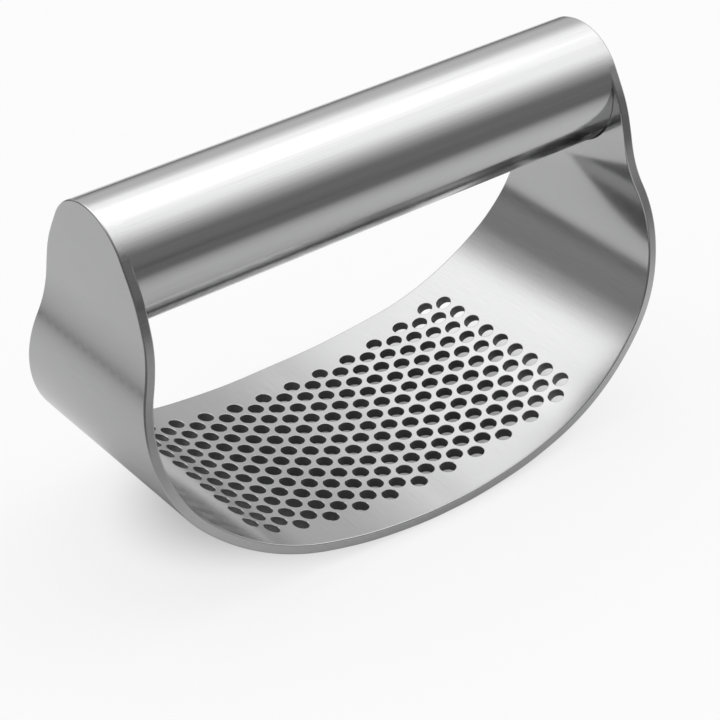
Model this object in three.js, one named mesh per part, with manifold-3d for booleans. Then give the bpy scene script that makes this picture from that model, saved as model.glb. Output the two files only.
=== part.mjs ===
// A rocking garlic press: one bent, perforated steel plate with a welded tubular handle.
// Millimetres. X runs along the handle, Z is up, and the origin is under the middle of the sole.
import * as THREE from 'three';
import { mergeGeometries, mergeVertices } from 'three/addons/utils/BufferGeometryUtils.js';
import Module from 'manifold-3d';

const wasm = await Module();
wasm.setup();

const DEGREE = Math.PI / 180;

// ---- Driving dimensions -------------------------------------------------------------------

const sheet = 2; // thickness of the plate
const tubeRadius = 12;
const tubeWall = 1.2;
const gap = 0.3; // between pieces that meet

// Half of the plate's side profile, along its outer face from the middle of the sole up to the
// tube's axis. A bend with a negative turn curves outward.
const bends = [
  { name: 'sole flat', length: 2, facets: 1 },
  { name: 'sole', radius: 116, turn: 12.7, facets: 3 },
  { name: 'shoulder', radius: 46.5, turn: 35, facets: 5 },
  { name: 'heel', radius: 27, turn: 42.3, facets: 6 },
  { name: 'belly', radius: 27, turn: 19.6, facets: 3 },
  { name: 'waist', radius: 28.4, turn: -19.6, facets: 3 },
  { name: 'cheek', length: 7.3, facets: 1 },
];

// The plate's edge in the flat, below its round head: how far below the tube's axis along the
// sheet, and how far from the middle line.
const headFlare = 32.7 * DEGREE; // where the round head runs out into the edge
const edgeKnots = [
  [-tubeRadius * Math.sin(headFlare), tubeRadius * Math.cos(headFlare)],
  [0, 13.6],
  [6, 15.4],
  [16, 17.35],
  [28, 20.2],
  [42, 23.4],
  [60, 26.2],
  [80, 28.4],
  [91, 29.07],
  [98, 29.36],
  [102.3, 29.4],
];
const edgeSteps = 30;
const headSteps = 8;

// Straight holes in staggered columns, round the bend of the sole.
const hole = { radius: 1.6, sides: 6, rowPitch: 4.55, columnPitch: 3.54, patternShift: -0.8 };
const columnsEachSide = 11;
const rowsInOddColumn = 9;

// The weld that joins each end of the tube to its cheek: a ring of filler, ground flush.
const weld = { width: 1.4, fillet: 0.25 };

// ---- The profile as a path ----------------------------------------------------------------

const steps = bends.map(({ length, radius, turn, facets }) => ({
  curvature: radius ? Math.sign(turn) / radius : 0,
  length: radius ? radius * Math.abs(turn) * DEGREE : length,
  facets,
}));
const reach = steps.reduce((sum, step) => sum + step.length, 0);

// The point at a signed distance along the outer face, with the sheet's direction there.
function profileAt(distance) {
  const side = Math.sign(distance) || 1;
  let left = Math.abs(distance);
  let [x, z, angle] = [0, 0, 0];
  for (const { curvature, length } of steps) {
    const run = Math.min(left, length);
    const end = angle + run * curvature;
    x += curvature ? (Math.sin(end) - Math.sin(angle)) / curvature : run * Math.cos(angle);
    z += curvature ? (Math.cos(angle) - Math.cos(end)) / curvature : run * Math.sin(angle);
    angle = end;
    left -= run;
  }
  return { x: side * x, z: z + left, angle: side * angle };
}

// The same point moved into the sheet by a depth.
function insideProfile(distance, depth) {
  const { x, z, angle } = profileAt(distance);
  return new THREE.Vector2(x - depth * Math.sin(angle), z + depth * Math.cos(angle));
}

// Where the facets of the bent sheet meet, on one half.
function stations() {
  const marks = [];
  let start = 0;
  for (const { length, facets } of steps) {
    for (let i = 1; i <= facets; i += 1) marks.push(start + (length * i) / facets);
    start += length;
  }
  marks.push(reach + tubeRadius);
  return marks;
}

const axle = profileAt(reach); // where the tube's axis meets the cheek's outer face
const cheekInner = axle.x - sheet;

// ---- Solids --------------------------------------------------------------------------------

function toSolid(geometry) {
  const bare = geometry.clone();
  bare.deleteAttribute('normal');
  bare.deleteAttribute('uv');
  const merged = mergeVertices(bare, 1e-5);
  const mesh = new wasm.Mesh({
    numProp: 3,
    vertProperties: new Float32Array(merged.attributes.position.array),
    triVerts: new Uint32Array(merged.index.array),
  });
  return new wasm.Manifold(mesh);
}

function toGeometry(solid) {
  const mesh = solid.getMesh();
  const geometry = new THREE.BufferGeometry();
  geometry.setAttribute('position', new THREE.BufferAttribute(mesh.vertProperties, 3));
  geometry.setIndex(new THREE.BufferAttribute(mesh.triVerts, 1));
  geometry.computeVertexNormals();
  return geometry;
}

// Extrudes an outline of [a, b] points so that a, b and the depth run along the given axes,
// centred on the origin along the depth.
function prism(outline, depth, axes) {
  const shape = new THREE.Shape(outline.map(([a, b]) => new THREE.Vector2(a, b)));
  const geometry = new THREE.ExtrudeGeometry(shape, { depth, bevelEnabled: false });
  geometry.translate(0, 0, -depth / 2);
  return geometry.applyMatrix4(new THREE.Matrix4().makeBasis(...axes));
}

const X = new THREE.Vector3(1, 0, 0);
const Y = new THREE.Vector3(0, 1, 0);
const Z = new THREE.Vector3(0, 0, 1);

const width = 2 * Math.max(...edgeKnots.map(([, half]) => half)) + 2;
const length = 2 * axle.x + 20;
const height = axle.z + tubeRadius + 1;

// ---- The plate ------------------------------------------------------------------------------

// The full-width band of sheet, bent to the profile.
function band() {
  const half = stations();
  const distances = [...half.map((s) => -s).reverse(), ...half];
  const outer = distances.map((s) => insideProfile(s, 0));
  const inner = distances.map((s) => insideProfile(s, sheet)).reverse();
  const outline = [...outer, ...inner].map(({ x, y }) => [x, y]);
  return toSolid(prism(outline, width, [X, Z, Y.clone().negate()]));
}

// One side edge of the plate as [distance from the middle of the sole, half width] points,
// from the head down to the middle.
function sideEdge() {
  const curve = new THREE.SplineCurve(edgeKnots.map(([s, half]) => new THREE.Vector2(s, half)));
  return curve.getPoints(edgeSteps).map((point) => [Math.max(reach - point.x, 0), point.y]);
}

// The round head, from its top down to where the side edge starts.
function headArc() {
  const sweep = Math.PI / 2 - headFlare;
  return Array.from({ length: headSteps }, (_, i) => {
    const angle = Math.PI / 2 - (sweep * i) / headSteps;
    return [tubeRadius * Math.cos(angle), axle.z + tubeRadius * Math.sin(angle)];
  });
}

function mirrored(points) {
  return points.map(([a, b]) => [-a, b]).reverse();
}

// One outline cut takes over from the other near the end of the shoulder bend, and the two
// share the stretch of edge around it.
const edge = sideEdge();
const shoulderEnd = steps.slice(0, 3).reduce((sum, step) => sum + step.length, 0);
const turn = edge.findIndex(([s]) => s <= shoulderEnd);
const cheekEdge = edge.slice(0, turn + 2);
const soleEdge = edge.slice(turn - 1).reverse();

// The outline seen along the handle, which shapes the head and the cheeks.
function cheekCutter() {
  const right = [
    ...headArc(),
    ...cheekEdge.map(([s, half]) => [half, profileAt(s).z]),
    [width / 2, profileAt(cheekEdge.at(-1)[0]).z],
    [width / 2, -1],
  ];
  return toSolid(prism([...mirrored(right), ...right.slice(1)].reverse(), length, [Y, Z, X]));
}

// The outline seen from above, which shapes the sole.
function soleCutter() {
  const right = [
    ...soleEdge.map(([s, half]) => [profileAt(s).x, half]),
    [profileAt(soleEdge.at(-1)[0]).x, width / 2],
    [length / 2, width / 2],
  ];
  const back = [...mirrored(right), ...right.slice(1)];
  const front = back.map(([x, y]) => [x, -y]).reverse();
  return toSolid(prism([...front, ...back], 2 * height, [X, Y, Z]));
}

// All the holes' cores, each square to the sheet where it stands. A core has few sides, and
// its corners stand out so that its area is the round hole's.
function holeCores() {
  const sector = (2 * Math.PI) / hole.sides;
  const corner = hole.radius * Math.sqrt(sector / Math.sin(sector));
  const cores = [];
  for (let column = -columnsEachSide; column <= columnsEachSide; column += 1) {
    const distance = column * hole.columnPitch + hole.patternShift;
    const { angle } = profileAt(distance);
    const centre = insideProfile(distance, sheet / 2);
    const rows = column % 2 ? rowsInOddColumn : rowsInOddColumn + 1;
    for (let row = 0; row < rows; row += 1) {
      const core = new THREE.CylinderGeometry(corner, corner, 2 * sheet, hole.sides);
      core.rotateX(Math.PI / 2).rotateY(-angle);
      cores.push(core.translate(centre.x, (row - (rows - 1) / 2) * hole.rowPitch, centre.y));
    }
  }
  return toSolid(mergeGeometries(cores));
}

function rockerPlate() {
  return toGeometry(band().intersect(cheekCutter()).intersect(soleCutter()).subtract(holeCores()));
}

// ---- The handle and its welds ---------------------------------------------------------------

// A ring about the tube's axis, from a closed outline of [distance along X, radius] points.
function ring(outline) {
  const points = [...outline, outline[0]].map(([x, r]) => new THREE.Vector2(r, x));
  const segments = 48;
  return new THREE.LatheGeometry(points, segments)
    .rotateZ(-Math.PI / 2)
    .translate(0, 0, axle.z);
}

const tubeEnd = cheekInner - weld.width - 2 * gap;
const bore = tubeRadius - tubeWall;

function handleTube() {
  return ring([[-tubeEnd, bore], [-tubeEnd, tubeRadius], [tubeEnd, tubeRadius], [tubeEnd, bore]]);
}

// The filler swells into a small fillet where the cheek stands out past the tube.
function weldRing(side) {
  const start = side * (tubeEnd + gap);
  const toe = side * (cheekInner - gap - weld.fillet);
  const end = side * (cheekInner - gap);
  const swell = tubeRadius + weld.fillet;
  const outline = [[start, bore], [start, tubeRadius], [toe, tubeRadius], [end, swell], [end, bore]];
  const blank = toSolid(ring(side > 0 ? outline : outline.reverse()));
  return toGeometry(blank.intersect(cheekCutter()));
}

// ---- Assembly --------------------------------------------------------------------------------

const satinSteel = { color: 0xb4b5b6, roughness: 0.32, metalness: 1 };
const tubeSteel = { color: 0xbcbdbe, roughness: 0.26, metalness: 1 };
const weldSteel = { color: 0xa8a9aa, roughness: 0.4, metalness: 1 };

function piece(name, geometry, finish) {
  const mesh = new THREE.Mesh(geometry, new THREE.MeshStandardMaterial(finish));
  mesh.name = name;
  return mesh;
}

const garlicPress = new THREE.Group();
garlicPress.add(
  piece('rocker_plate', rockerPlate(), satinSteel),
  piece('handle_tube', handleTube(), tubeSteel),
  piece('weld_left', weldRing(-1), weldSteel),
  piece('weld_right', weldRing(1), weldSteel),
);

export default garlicPress;
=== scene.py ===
"""The looks of a rocking garlic press: a bent, perforated steel plate with a welded tube handle."""
import math

import bpy
import numpy as np
from mathutils import Matrix, Vector
from mathutils.geometry import delaunay_2d_cdt


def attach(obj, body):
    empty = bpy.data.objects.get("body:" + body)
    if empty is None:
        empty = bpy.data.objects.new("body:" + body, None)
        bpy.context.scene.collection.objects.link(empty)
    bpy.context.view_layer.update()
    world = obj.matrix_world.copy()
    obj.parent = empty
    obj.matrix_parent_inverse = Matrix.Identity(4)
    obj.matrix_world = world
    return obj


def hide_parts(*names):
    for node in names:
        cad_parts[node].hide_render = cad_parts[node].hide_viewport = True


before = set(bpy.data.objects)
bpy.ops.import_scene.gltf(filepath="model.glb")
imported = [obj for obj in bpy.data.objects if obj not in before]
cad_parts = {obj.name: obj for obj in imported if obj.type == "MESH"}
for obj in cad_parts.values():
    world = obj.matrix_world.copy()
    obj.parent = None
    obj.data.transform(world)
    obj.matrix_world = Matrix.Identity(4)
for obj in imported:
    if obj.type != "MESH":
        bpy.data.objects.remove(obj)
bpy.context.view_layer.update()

MM = 0.001

# ---- The design, in millimetres, as the CAD part has it ---------------------------------------

SHEET = 2.0
TUBE_RADIUS = 12.0
TUBE_WALL = 1.2
# Half of the plate's side profile, from the middle of the sole up to the tube's axis:
# (length, 0) for a straight and (radius, turn in degrees) for a bend.
BENDS = ((2.0, 0), (116.0, 12.7), (46.5, 35.0), (27.0, 42.3), (27.0, 19.6), (28.4, -19.6), (7.3, 0))
# The side edge in the flat: (distance below the tube's axis, half width).
HEAD_FLARE = math.radians(32.7)
EDGE_KNOTS = (
    (-TUBE_RADIUS * math.sin(HEAD_FLARE), TUBE_RADIUS * math.cos(HEAD_FLARE)),
    (0, 13.6), (6, 15.4), (16, 17.35), (28, 20.2), (42, 23.4), (60, 26.2), (80, 28.4),
    (91, 29.07), (98, 29.36), (102.3, 29.4),
)
# The holes, in staggered columns that run across the sheet.
HOLE_RADIUS = 1.6
ROW_PITCH = 4.55
COLUMN_PITCH = 3.54
PATTERN_SHIFT = -0.8
COLUMNS_EACH_SIDE = 11
ROWS_IN_ODD_COLUMN = 9
# The weld fills the CAD's gap to the tube as well.
WELD_WIDTH = 1.7
WELD_FILLET = 0.25
# How far below the round head, in tube radii, the fillet has grown to its full size.
FILLET_RUN_IN = 0.55

# ---- How fine the visible meshes are, in millimetres ------------------------------------------

EDGE_ROUND = 0.32
RIM_ROUND = 0.14
OUTLINE_STEP = 0.8
# The fill's points: their spacing, how far out they start, and how far they stay from an edge.
FILL_STEP = 1.5
FILL_HALF_WIDTH = 30.0
FILL_CLEARANCE = 0.6 * FILL_STEP
HOLE_SIDES = 24
TURN_SIDES = 192
TUBE_BANDS = 40

# The tilts of the points on a wall's rounded corner, from the outer face to the wall.
CORNER_TILTS = (-math.pi / 4, 0.0)
# Where the points of the weld's fillet are, as shares of its size.
FILLET_SHARES = (0.25, 0.5, 0.75, 0.9, 1.0)

# ---- The view ---------------------------------------------------------------------------------

# The direction from the press to the camera, its roll, the point it looks at, and its lens.
AZIMUTH = math.radians(-36.57)
ELEVATION = math.radians(33.62)
ROLL = math.radians(-1.5)
AIM = Vector((-4.3, -7.4, 24.2)) * MM
DISTANCE = 444.4 * MM
LENS = 118.85
SENSOR = 36.0


# ---- The bent sheet as a map from the flat ----------------------------------------------------

def bend_runs():
    """(length, curvature) of each stretch of half the profile."""
    runs = []
    for size, turn in BENDS:
        arc = size * abs(math.radians(turn))
        runs.append((arc, math.copysign(1 / size, turn)) if turn else (size, 0.0))
    return runs


RUNS = bend_runs()
REACH = sum(length for length, _ in RUNS)


def profile(s):
    """x, z and the sheet's angle at signed distances along the outer face."""
    side = np.where(s < 0, -1.0, 1.0)
    left = np.abs(s)
    x, z, angle = np.zeros_like(left), np.zeros_like(left), np.zeros_like(left)
    for length, curvature in RUNS:
        run = np.minimum(left, length)
        end = angle + run * curvature
        if curvature:
            x += (np.sin(end) - np.sin(angle)) / curvature
            z += (np.cos(angle) - np.cos(end)) / curvature
        else:
            x += run * np.cos(angle)
            z += run * np.sin(angle)
        angle = end
        left = left - run
    return side * x, z + left, side * angle


AXIS_Z = float(profile(np.array([REACH]))[1][0])
CHEEK_INNER = float(profile(np.array([REACH]))[0][0]) - SHEET


def bent(flat, depth):
    """Points of the bent sheet, in mm, from (s, y) in the flat and a depth from the outer face."""
    x, z, angle = profile(flat[:, 0])
    return np.stack([x - depth * np.sin(angle), flat[:, 1], z + depth * np.cos(angle)], 1)


def sheet_axes(flat):
    """The sheet's own directions at each (s, y): along it, across it, and into it."""
    _, _, angle = profile(flat[:, 0])
    zero, one = np.zeros_like(angle), np.ones_like(angle)
    along = np.stack([np.cos(angle), zero, np.sin(angle)], 1)
    across = np.stack([zero, one, zero], 1)
    inward = np.stack([-np.sin(angle), zero, np.cos(angle)], 1)
    return along, across, inward


def spline(knots, steps):
    """Catmull-Rom points through the knots."""
    p = np.array(knots, float)
    t = np.linspace(0, len(p) - 1, steps)
    i = np.minimum(t.astype(int), len(p) - 2)
    w = (t - i)[:, None]
    before, a, b, after = p[np.maximum(i - 1, 0)], p[i], p[i + 1], p[np.minimum(i + 2, len(p) - 1)]
    u, v = (b - before) / 2, (after - a) / 2
    return (2 * a - 2 * b + u + v) * w**3 + (3 * b - 3 * a - 2 * u - v) * w**2 + u * w + a


def quarter_edge():
    """A quarter of the outline in the flat, from the middle of the sole to the head's top, in even
    steps."""
    dense = 2000
    side = spline(EDGE_KNOTS, dense)
    side = np.stack([np.maximum(REACH - side[:, 0], 0), side[:, 1]], 1)[::-1]
    turn = np.linspace(HEAD_FLARE, math.pi / 2, dense)
    head = np.stack([REACH + TUBE_RADIUS * np.sin(turn), TUBE_RADIUS * np.cos(turn)], 1)
    line = np.concatenate([side, head[1:]])
    walked = np.concatenate([[0], np.cumsum(np.linalg.norm(np.diff(line, axis=0), axis=1))])
    marks = np.linspace(0, walked[-1], round(walked[-1] / OUTLINE_STEP) + 1)
    return np.stack([np.interp(marks, walked, line[:, k]) for k in (0, 1)], 1)


def outline():
    """The whole outline in the flat, anticlockwise, with its outward normals."""
    quarter = quarter_edge()
    back = np.concatenate([quarter[::-1], quarter[1:] * (-1, 1)])
    front = back[::-1][1:-1] * (1, -1)
    points = np.concatenate([back, front])
    along = np.roll(points, -1, 0) - np.roll(points, 1, 0)
    normals = np.stack([along[:, 1], -along[:, 0]], 1)
    return points, normals / np.linalg.norm(normals, axis=1)[:, None]


def hole_centres():
    """The middles of the holes in the flat, in staggered columns."""
    centres = []
    for column in range(-COLUMNS_EACH_SIDE, COLUMNS_EACH_SIDE + 1):
        rows = ROWS_IN_ODD_COLUMN if column % 2 else ROWS_IN_ODD_COLUMN + 1
        s = column * COLUMN_PITCH + PATTERN_SHIFT
        centres += [(s, (row - (rows - 1) / 2) * ROW_PITCH) for row in range(rows)]
    return np.array(centres)


# ---- Mesh helpers -----------------------------------------------------------------------------

def make_piece(name, points, faces, normals, grain, materials, node, slot, others=()):
    """A smooth piece in place of a CAD node, from points and directions in millimetres. The lists
    of face numbers in others have the second material, the third and so on."""
    mesh = bpy.data.meshes.new(name)
    mesh.from_pydata((points * MM).tolist(), [], faces)
    mesh.polygons.foreach_set("use_smooth", [True] * len(mesh.polygons))
    attribute = mesh.attributes.new("grain", "FLOAT_VECTOR", "POINT")
    attribute.data.foreach_set("vector", grain.astype(np.float32).ravel())
    for material in materials:
        mesh.materials.append(material)
    for index, numbers in enumerate(others, 1):
        for number in numbers:
            mesh.polygons[number].material_index = index
    mesh.normals_split_custom_set_from_vertices(normals.tolist())
    mesh.update()
    piece = bpy.data.objects.new(name, mesh)
    bpy.context.scene.collection.objects.link(piece)
    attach(piece, "root")
    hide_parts(node)
    return piece


def strip(lower, upper):
    """Quads between two closed rings of point numbers."""
    return np.stack([lower, np.roll(lower, -1), np.roll(upper, -1), upper], 1).tolist()


# ---- The plate --------------------------------------------------------------------------------

def half_width(s):
    """Half the sheet's width at distances along it."""
    quarter = quarter_edge()
    return np.interp(np.abs(s), quarter[:, 0], quarter[:, 1], right=0)


def fill_points(rim, centres):
    """Points that fill the flat sheet in staggered rows, inside its rim and clear of the holes."""
    rows = []
    top = REACH + TUBE_RADIUS
    for row, y in enumerate(np.arange(-FILL_HALF_WIDTH, FILL_HALF_WIDTH + FILL_STEP / 2, FILL_STEP)):
        s = np.arange(-top, top, FILL_STEP) + (row % 2) * FILL_STEP / 2
        rows.append(np.stack([s, np.full_like(s, y)], 1))
    points = np.concatenate(rows)
    to_rim = np.min(np.linalg.norm(points[:, None] - rim[None], axis=2), axis=1)
    to_hole = np.min(np.linalg.norm(points[:, None] - centres[None], axis=2), axis=1)
    inside = np.abs(points[:, 1]) < half_width(points[:, 0])
    return points[inside & (to_rim > FILL_CLEARANCE) & (to_hole > HOLE_RADIUS + FILL_CLEARANCE)]


def triangulate(flat, loops, centres, hole_edge):
    """Triangles over the flat points inside the first loop, without those in a hole."""
    edges = [(loop[i], loop[(i + 1) % len(loop)]) for loop in loops for i in range(len(loop))]
    found = delaunay_2d_cdt([Vector(p) for p in flat], edges, [], 0, 1e-7, True)
    found_faces, sources = found[2], found[3]
    faces = np.array([[sources[i][0] for i in face] for face in found_faces])
    middle = flat[faces].mean(axis=1)
    to_hole = np.min(np.linalg.norm(middle[:, None] - centres[None], axis=2), axis=1)
    rim = np.abs(flat[loops[0]])
    rim = rim[np.argsort(rim[:, 0])]
    inset = np.interp(np.abs(middle[:, 0]), rim[:, 0], rim[:, 1]) - np.abs(middle[:, 1])
    faces = faces[(to_hole > hole_edge * math.cos(math.pi / HOLE_SIDES)) & (inset > 0)]
    a, b, c = flat[faces[:, 0]], flat[faces[:, 1]], flat[faces[:, 2]]
    area = (b[:, 0] - a[:, 0]) * (c[:, 1] - a[:, 1]) - (b[:, 1] - a[:, 1]) * (c[:, 0] - a[:, 0])
    faces[area < 0] = faces[area < 0][:, ::-1]
    return faces


class Shell:
    """Collects rings of points on the bent sheet, with their normals."""

    def __init__(self):
        self.points, self.normals, self.grain, self.faces = [], [], [], []
        self.count = 0

    def add(self, flat, depth, tilt, outward):
        """Adds points at a depth. Their normals lean from the outer face (tilt -90 degrees) through
        the flat direction outward (0) to the inner face (90)."""
        along, across, inward = sheet_axes(flat)
        sideways = outward[:, :1] * along + outward[:, 1:] * across
        self.points.append(bent(flat, depth))
        self.normals.append(sideways * math.cos(tilt) + inward * math.sin(tilt))
        self.grain.append(np.stack([flat[:, 0], flat[:, 1], np.full(len(flat), depth)], 1))
        numbers = np.arange(self.count, self.count + len(flat))
        self.count += len(flat)
        return numbers

    def wall(self, ring, outward, radius, outer, inner):
        """Joins the outer face's ring of points to the inner face's by a wall with round corners.
        ring holds the wall's own flat points, and outward their directions out of the steel."""
        steps = [(tilt, radius * (1 + math.sin(tilt))) for tilt in CORNER_TILTS]
        steps += [(-tilt, SHEET - depth) for tilt, depth in reversed(steps)]
        below = outer
        for tilt, depth in steps:
            above = self.add(ring - outward * radius * (1 - math.cos(tilt)), depth, tilt, outward)
            self.faces += strip(below, above)
            below = above
        self.faces += strip(below, inner)


def plate_mesh():
    """The bent sheet with its holes, and two lists of face numbers: the holes' straight walls, and
    the edge of the round heads."""
    edge, edge_out = outline()
    centres = hole_centres()
    turn = np.linspace(0, 2 * math.pi, HOLE_SIDES, endpoint=False)
    circle = np.stack([np.cos(turn), np.sin(turn)], 1)
    rim = edge - edge_out * EDGE_ROUND
    mouths = [centre + circle * (HOLE_RADIUS + RIM_ROUND) for centre in centres]
    flat = np.concatenate([rim, *mouths, fill_points(rim, centres)])
    starts = [len(rim) + i * HOLE_SIDES for i in range(len(centres))]
    loops = [list(range(len(rim)))] + [list(range(i, i + HOLE_SIDES)) for i in starts]
    faces = triangulate(flat, loops, centres, HOLE_RADIUS + RIM_ROUND)

    shell = Shell()
    still = np.zeros_like(flat)
    outer = shell.add(flat, 0.0, -math.pi / 2, still)
    inner = shell.add(flat, SHEET, math.pi / 2, still)
    shell.faces += outer[faces[:, ::-1]].tolist()
    shell.faces += inner[faces].tolist()
    shell.wall(edge, edge_out, EDGE_ROUND, outer[loops[0]], inner[loops[0]])
    on_head = np.abs(edge[:, 0]) > REACH + TUBE_RADIUS * math.sin(HEAD_FLARE)
    edge_wall = range(2 * len(faces), len(shell.faces))
    heads = [number for i, number in enumerate(edge_wall) if on_head[i % len(edge)]]
    punched = []
    corner_faces = len(CORNER_TILTS) * HOLE_SIDES
    for centre, loop in zip(centres, loops[1:]):
        ring = (centre + circle * HOLE_RADIUS)[::-1]
        first = len(shell.faces)
        shell.wall(ring, -circle[::-1], RIM_ROUND, outer[loop][::-1], inner[loop][::-1])
        punched += range(first + corner_faces, len(shell.faces) - corner_faces)
    parts = (shell.points, shell.normals, shell.grain)
    points, normals, grain = (np.concatenate(part) for part in parts)
    return points, shell.faces, normals, grain, [punched, heads]


# ---- Turned pieces ----------------------------------------------------------------------------

def turned_mesh(outer, inner):
    """A closed ring about the tube's axis. Each of the outer and inner points of its section is x
    and the radius round the turn, which may vary."""
    turn = np.linspace(0, 2 * math.pi, TURN_SIDES, endpoint=False)
    even = np.ones(TURN_SIDES)
    across, up = np.cos(turn), np.sin(turn)
    points, normals, grain = [], [], []
    for x, radius, out in [(*point, 1) for point in outer] + [(*point, -1) for point in inner]:
        points.append(np.stack([x * even, radius * across, AXIS_Z + radius * up], 1))
        normals.append(np.stack([0 * even, out * across, out * up], 1))
        grain.append(np.stack([x * even, TUBE_RADIUS * turn, radius * even], 1))
    rings = np.arange(len(points) * TURN_SIDES).reshape(-1, TURN_SIDES)
    faces = []
    for lower, upper in zip(rings, np.roll(rings, -1, axis=0)):
        faces += strip(lower, upper)
    return np.concatenate(points), faces, np.concatenate(normals), np.concatenate(grain)


def tube_mesh():
    """The handle tube, open at both ends."""
    end = CHEEK_INNER - WELD_WIDTH
    stations = np.linspace(-end, end, TUBE_BANDS + 1)
    outer = [(x, TUBE_RADIUS) for x in stations]
    inner = [(x, TUBE_RADIUS - TUBE_WALL) for x in stations[::-1]]
    return turned_mesh(outer, inner)


def weld_lift():
    """How far the fillet stands out past the tube, round the turn. It grows smoothly from nothing
    at the ends of the round head, which is flush with the tube."""
    turn = np.linspace(0, 2 * math.pi, TURN_SIDES, endpoint=False)
    below_head = math.sin(HEAD_FLARE) - np.sin(turn)
    share = np.clip(below_head / FILLET_RUN_IN, 0, 1)
    return WELD_FILLET * share * share * (3 - 2 * share)


def weld_mesh(side):
    """The ring of filler between the tube and a cheek, which runs into the cheek's rounded edge."""
    start = CHEEK_INNER - WELD_WIDTH
    end = CHEEK_INNER + EDGE_ROUND
    toe = CHEEK_INNER - WELD_FILLET
    bore = TUBE_RADIUS - TUBE_WALL
    lift = weld_lift()
    outer = [(start, TUBE_RADIUS), (toe, TUBE_RADIUS)]
    for share in FILLET_SHARES:
        rise = 1 - math.sqrt(1 - share * share)
        outer.append((toe + WELD_FILLET * share, TUBE_RADIUS + lift * rise))
    outer.append((end, TUBE_RADIUS + lift))
    points, faces, normals, grain = turned_mesh(outer, [(end, bore), (start, bore)])
    if side < 0:
        points, normals = points * (-1, 1, 1), normals * (-1, 1, 1)
        faces = [face[::-1] for face in faces]
    return points, faces, normals, grain


# ---- Materials --------------------------------------------------------------------------------

# Each steel's tone, roughness, and fineness per mm of the brushing and of the polish's slow clouds
# along the three axes of the grain attribute. The brushed lines run where the fineness is low.
STEELS = {
    "plate_steel": (0.48, 0.15, (6.0, 0.15, 1.0), (0.05, 0.03, 0.1)),
    "handle_steel": (0.54, 0.15, (0.03, 5.0, 1.0), (0.01, 0.2, 0.1)),
    # The holes' walls: a rougher, duller punched steel, whose darker tone is partly painted shade in the
    # holes.
    "punched_steel_and_painted_shade": (0.33, 0.7, (5.0, 5.0, 0.6), (1.0, 1.0, 1.0)),
}
# The colours of the lines, as shares of the steel's tone.
DARK_LINE = (0.95, 0.95, 0.9595)
LIGHT_LINE = (1.04, 1.04, 1.04)
SPECK_FINENESS = (9.0, 9.0, 9.0)
# How far the roughness changes with the lines, the clouds and the specks.
LINE_WEAR = (-0.03, 0.03)
CLOUD_WEAR = (-0.02, 0.03)
SPECK_WEAR = (-0.01, 0.01)
# The lines' relief.
RELIEF = 0.02 * MM
RELIEF_STRENGTH = 0.12
# Where most values of a noise lie.
NOISE_RANGE = (0.3, 0.7)


class Nodes:
    """A short way to build the node tree of a material or a world. Only a material has a shader."""

    def __init__(self, owner):
        owner.use_nodes = True
        self.tree = owner.node_tree
        self.shader = self.tree.nodes.get("Principled BSDF")

    def add(self, kind, settings=(), **inputs):
        """A new node with its settings, and with a value or a link on each input that is named."""
        node = self.tree.nodes.new(kind)
        for key, value in dict(settings).items():
            setattr(node, key, value)
        for key, value in inputs.items():
            self.feed(node.inputs[key.replace("_", " ")], value)
        return node

    def feed(self, socket, value):
        if isinstance(value, bpy.types.NodeSocket):
            self.tree.links.new(value, socket)
        else:
            socket.default_value = value

    def math(self, operation, a, b):
        node = self.add("ShaderNodeMath", {"operation": operation})
        self.feed(node.inputs[0], a)
        self.feed(node.inputs[1], b)
        return node.outputs[0]

    def vector_math(self, operation, a, b=(0, 0, 0)):
        node = self.add("ShaderNodeVectorMath", {"operation": operation})
        self.feed(node.inputs[0], a)
        self.feed(node.inputs[1], b)
        return node.outputs["Value" if operation == "LENGTH" else "Vector"]

    def mix(self, factor, a, b):
        """The colour a at a factor of 0 and b at 1."""
        node = self.add("ShaderNodeMix", {"data_type": "RGBA"}, Factor=factor, A=a, B=b)
        return node.outputs["Result"]

    def step(self, value, start, end):
        """0 to 1 as the value goes from start to end, eased at both."""
        node = self.add("ShaderNodeMapRange", {"interpolation_type": "SMOOTHSTEP"}, Value=value)
        node.inputs["From Min"].default_value = start
        node.inputs["From Max"].default_value = end
        return node.outputs["Result"]

    def noise(self, place, fineness, detail, roughness=0.5):
        """Noise with a fineness of its own along each axis."""
        stretched = self.vector_math("MULTIPLY", place, fineness)
        node = self.add("ShaderNodeTexNoise", Vector=stretched, Scale=1.0)
        node.inputs["Detail"].default_value = detail
        node.inputs["Roughness"].default_value = roughness
        return node.outputs["Fac"]

    def spread(self, noise, low, high):
        """Maps noise from the range that most of it lies in to low to high."""
        node = self.add("ShaderNodeMapRange", Value=noise)
        ends = zip(("From Min", "From Max", "To Min", "To Max"), (*NOISE_RANGE, low, high))
        for key, number in ends:
            node.inputs[key].default_value = number
        return node.outputs["Result"]


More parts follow.
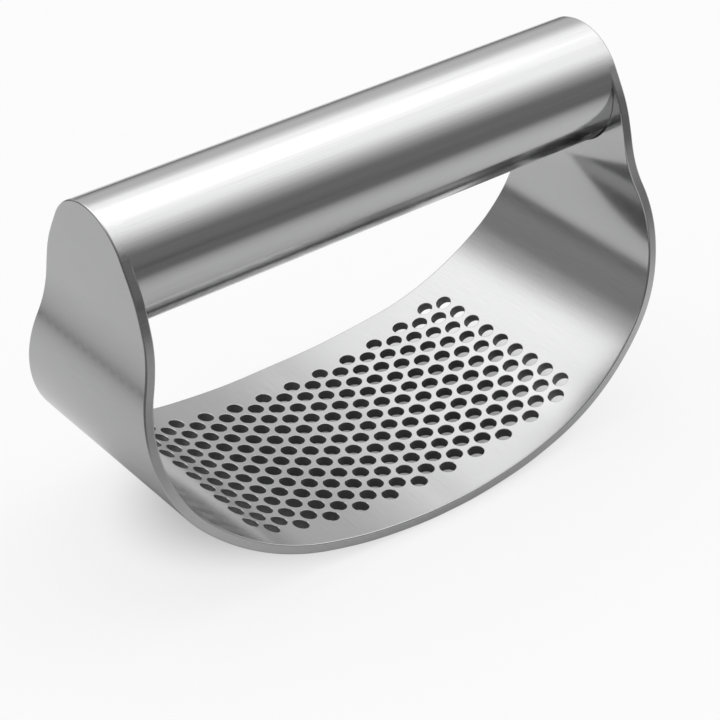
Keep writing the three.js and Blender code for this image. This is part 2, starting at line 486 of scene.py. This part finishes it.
def steel(name):
    """Satin stainless steel, brushed."""
    tone, rough, line_fineness, cloud_fineness = STEELS[name]
    material = bpy.data.materials.new(name)
    nodes = Nodes(material)
    grain = nodes.add("ShaderNodeAttribute", {"attribute_name": "grain"}).outputs["Vector"]
    lines = nodes.noise(grain, line_fineness, detail=3.0, roughness=0.6)
    clouds = nodes.noise(grain, cloud_fineness, detail=2.0)
    specks = nodes.noise(grain, SPECK_FINENESS, detail=2.0)
    dark = (*(tone * share for share in DARK_LINE), 1)
    light = (*(tone * share for share in LIGHT_LINE), 1)
    nodes.feed(nodes.shader.inputs["Base Color"], nodes.mix(nodes.spread(lines, 0, 1), dark, light))
    nodes.shader.inputs["Metallic"].default_value = 1.0
    worn = nodes.math("ADD", nodes.spread(lines, *LINE_WEAR), nodes.spread(clouds, *CLOUD_WEAR))
    worn = nodes.math("ADD", worn, nodes.spread(specks, *SPECK_WEAR))
    nodes.feed(nodes.shader.inputs["Roughness"], nodes.math("ADD", worn, rough))
    bump = nodes.add("ShaderNodeBump", Strength=RELIEF_STRENGTH, Distance=RELIEF, Height=lines)
    nodes.feed(nodes.shader.inputs["Normal"], bump.outputs["Normal"])
    return material


# ---- The stage --------------------------------------------------------------------------------

# The tone of the studio that the press reflects, in each quarter, as (sine of the height, tone):
# bright overhead and at the back, and dim low down and behind the camera.
BACK_RIGHT = (
    (0.0, 0.4), (0.1, 0.55), (0.2, 0.7), (0.45, 0.76), (0.57, 1.08), (0.65, 1.6), (0.73, 1.6), (0.84, 2.2),
)
BACK_LEFT = (
    (0.0, 0.25), (0.15, 0.37), (0.45, 0.33), (0.57, 0.7), (0.66, 1.8), (0.74, 1.85), (0.86, 1.3),
)
FRONT_RIGHT = (
    (0.0, 0.16), (0.1, 0.23), (0.35, 0.21), (0.5, 0.47), (0.6, 0.72), (0.7, 1.1), (0.8, 1.55),
)
FRONT_LEFT = ((0.0, 0.2), (0.35, 0.15), (0.6, 0.3), (0.8, 0.6))
BRIGHTEST = 3.0
# The front right quarter's heights count from here along X, so that its bands slant.
SLANT_FROM = 0.5
# Where one side runs into the other along X, and the front into the back along Y.
LEFT_TO_RIGHT = (-0.35, 0.15)
FRONT_TO_BACK = (-0.25, 0.25)

# The paper as the camera sees it. Most of that is a glow of its own, which keeps shadows faint.
PAPER = 0.97
GLOW = 0.8
PAPER_ROUGHNESS = 0.9
FLOOR_REACH = 5.0
# The paper as the press reflects it: a painted pool of light about a point behind the press, fading to
# painted shade far off.
BRIGHT_MIDDLE = (0.08, 0.12)
BRIGHT_TO_DARK = (0.15, 0.42)
BRIGHT_TONE = 0.8
DARK_TONE = 0.2
# The painted shade under the sole, as darker paper and a weaker glow in an ellipse whose edge is soft
# between two shares of its size.
SHADE_SIZE = (48 * MM, 28 * MM)
SHADE_EDGE = (0.6, 1.2)
SHADE_TONE = 0.2
SHADE_GLOW = 0.25


def grey(tone):
    return (tone, tone, tone, 1)


def tone_ramp(nodes, height, stops):
    """A grey that follows (height, tone) stops, as a share of the brightest tone."""
    node = nodes.add("ShaderNodeValToRGB", Fac=height)
    elements = node.color_ramp.elements
    while len(elements) < len(stops):
        elements.new(0.5)
    for element, (position, tone) in zip(elements, stops):
        element.position = position
        element.color = grey(tone / BRIGHTEST)
    return node.outputs["Color"]


def make_studio():
    """The studio as the press reflects it. The camera itself sees pale paper all round."""
    world = bpy.data.worlds.new("studio")
    bpy.context.scene.world = world
    nodes = Nodes(world)
    direction = nodes.add("ShaderNodeTexCoord").outputs["Generated"]
    x, y, height = nodes.add("ShaderNodeSeparateXYZ", Vector=direction).outputs
    slanted = nodes.math("ADD", height, nodes.math("SUBTRACT", x, SLANT_FROM))
    right = nodes.step(x, *LEFT_TO_RIGHT)
    back = nodes.mix(right, tone_ramp(nodes, height, BACK_LEFT), tone_ramp(nodes, height, BACK_RIGHT))
    front_right = tone_ramp(nodes, slanted, FRONT_RIGHT)
    front = nodes.mix(right, tone_ramp(nodes, height, FRONT_LEFT), front_right)
    studio = nodes.tree.nodes["Background"]
    nodes.feed(studio.inputs["Color"], nodes.mix(nodes.step(y, *FRONT_TO_BACK), front, back))
    studio.inputs["Strength"].default_value = BRIGHTEST
    paper = nodes.add("ShaderNodeBackground", Color=grey(PAPER))
    camera = nodes.add("ShaderNodeLightPath").outputs["Is Camera Ray"]
    seen = nodes.add("ShaderNodeMixShader", Fac=camera)
    nodes.feed(seen.inputs[1], studio.outputs[0])
    nodes.feed(seen.inputs[2], paper.outputs[0])
    nodes.feed(nodes.tree.nodes["World Output"].inputs["Surface"], seen.outputs[0])


def outside(nodes, place, middle, size, edge):
    """0 inside an ellipse and 1 outside it, with an edge that is soft between two shares of its size."""
    moved = nodes.vector_math("SUBTRACT", place, (*middle, 0))
    scaled = nodes.vector_math("MULTIPLY", moved, (1 / size[0], 1 / size[1], 0))
    return nodes.step(nodes.vector_math("LENGTH", scaled), *edge)


def floor_paper():
    """Pale paper to the camera, with painted shade under the sole; to the press, also a painted pool of
    light that fades far off.
    """
    material = bpy.data.materials.new("floor_paper")
    nodes = Nodes(material)
    place = nodes.add("ShaderNodeTexCoord").outputs["Object"]
    # A painted pool of light: brighter paper about a point behind the press and darker far off, seen only
    # in the press's reflections.
    far_off = outside(nodes, place, BRIGHT_MIDDLE, (1, 1), BRIGHT_TO_DARK)
    # Painted shade under the sole: darker paper to the press, and a weaker glow to the camera through the
    # holes.
    outside_painted_shade = outside(nodes, place, (0, 0), SHADE_SIZE, SHADE_EDGE)
    camera = nodes.add("ShaderNodeLightPath").outputs["Is Camera Ray"]
    sheet = nodes.mix(far_off, grey(BRIGHT_TONE), grey(DARK_TONE))
    shaded = nodes.mix(outside_painted_shade, grey(SHADE_TONE), sheet)
    glow = nodes.mix(outside_painted_shade, grey(SHADE_GLOW), grey(GLOW))
    shader = nodes.shader.inputs
    nodes.feed(shader["Base Color"], nodes.mix(camera, shaded, grey(PAPER - GLOW)))
    nodes.feed(shader["Emission Color"], nodes.mix(camera, grey(0), glow))
    shader["Emission Strength"].default_value = 1.0
    shader["Roughness"].default_value = PAPER_ROUGHNESS
    shader["Specular IOR Level"].default_value = 0.0
    return material


def make_floor():
    """One wide flat sheet of paper."""
    mesh = bpy.data.meshes.new("floor")
    corners = [(-1, -1), (1, -1), (1, 1), (-1, 1)]
    mesh.from_pydata([(x * FLOOR_REACH, y * FLOOR_REACH, 0) for x, y in corners], [], [(0, 1, 2, 3)])
    mesh.materials.append(floor_paper())
    floor = bpy.data.objects.new("floor", mesh)
    bpy.context.scene.collection.objects.link(floor)


def make_camera():
    """The camera at the photograph's angle."""
    data = bpy.data.cameras.new("camera")
    data.lens = LENS
    data.sensor_width = SENSOR
    data.clip_start = 0.01
    data.clip_end = 50.0
    camera = bpy.data.objects.new("camera", data)
    level = math.cos(ELEVATION)
    back = Vector((math.sin(AZIMUTH) * level, -math.cos(AZIMUTH) * level, math.sin(ELEVATION)))
    roll = Matrix.Rotation(ROLL, 3, "Z").to_quaternion()
    camera.rotation_mode = "QUATERNION"
    camera.rotation_quaternion = back.to_track_quat("Z", "Y") @ roll
    camera.location = AIM + back * DISTANCE
    bpy.context.scene.collection.objects.link(camera)
    bpy.context.scene.camera = camera


# ---- The press --------------------------------------------------------------------------------

def make_press():
    """The four pieces. The round heads' edge has the handle's steel, which it runs into."""
    plate_steel, handle_steel, punched_steel_and_painted_shade = (steel(name) for name in STEELS)
    finishes = [plate_steel, punched_steel_and_painted_shade, handle_steel]
    *plate, others = plate_mesh()
    make_piece("plate", *plate, finishes, "rocker_plate", "satin_steel", others)
    make_piece("handle", *tube_mesh(), [handle_steel], "handle_tube", "tube_steel")
    for side, end in ((-1, "left"), (1, "right")):
        make_piece(f"weld_{end}_fine", *weld_mesh(side), [handle_steel], f"weld_{end}", "weld_steel")


make_press()
make_studio()
make_floor()
make_camera()
bpy.context.scene.view_settings.view_transform = "Standard"
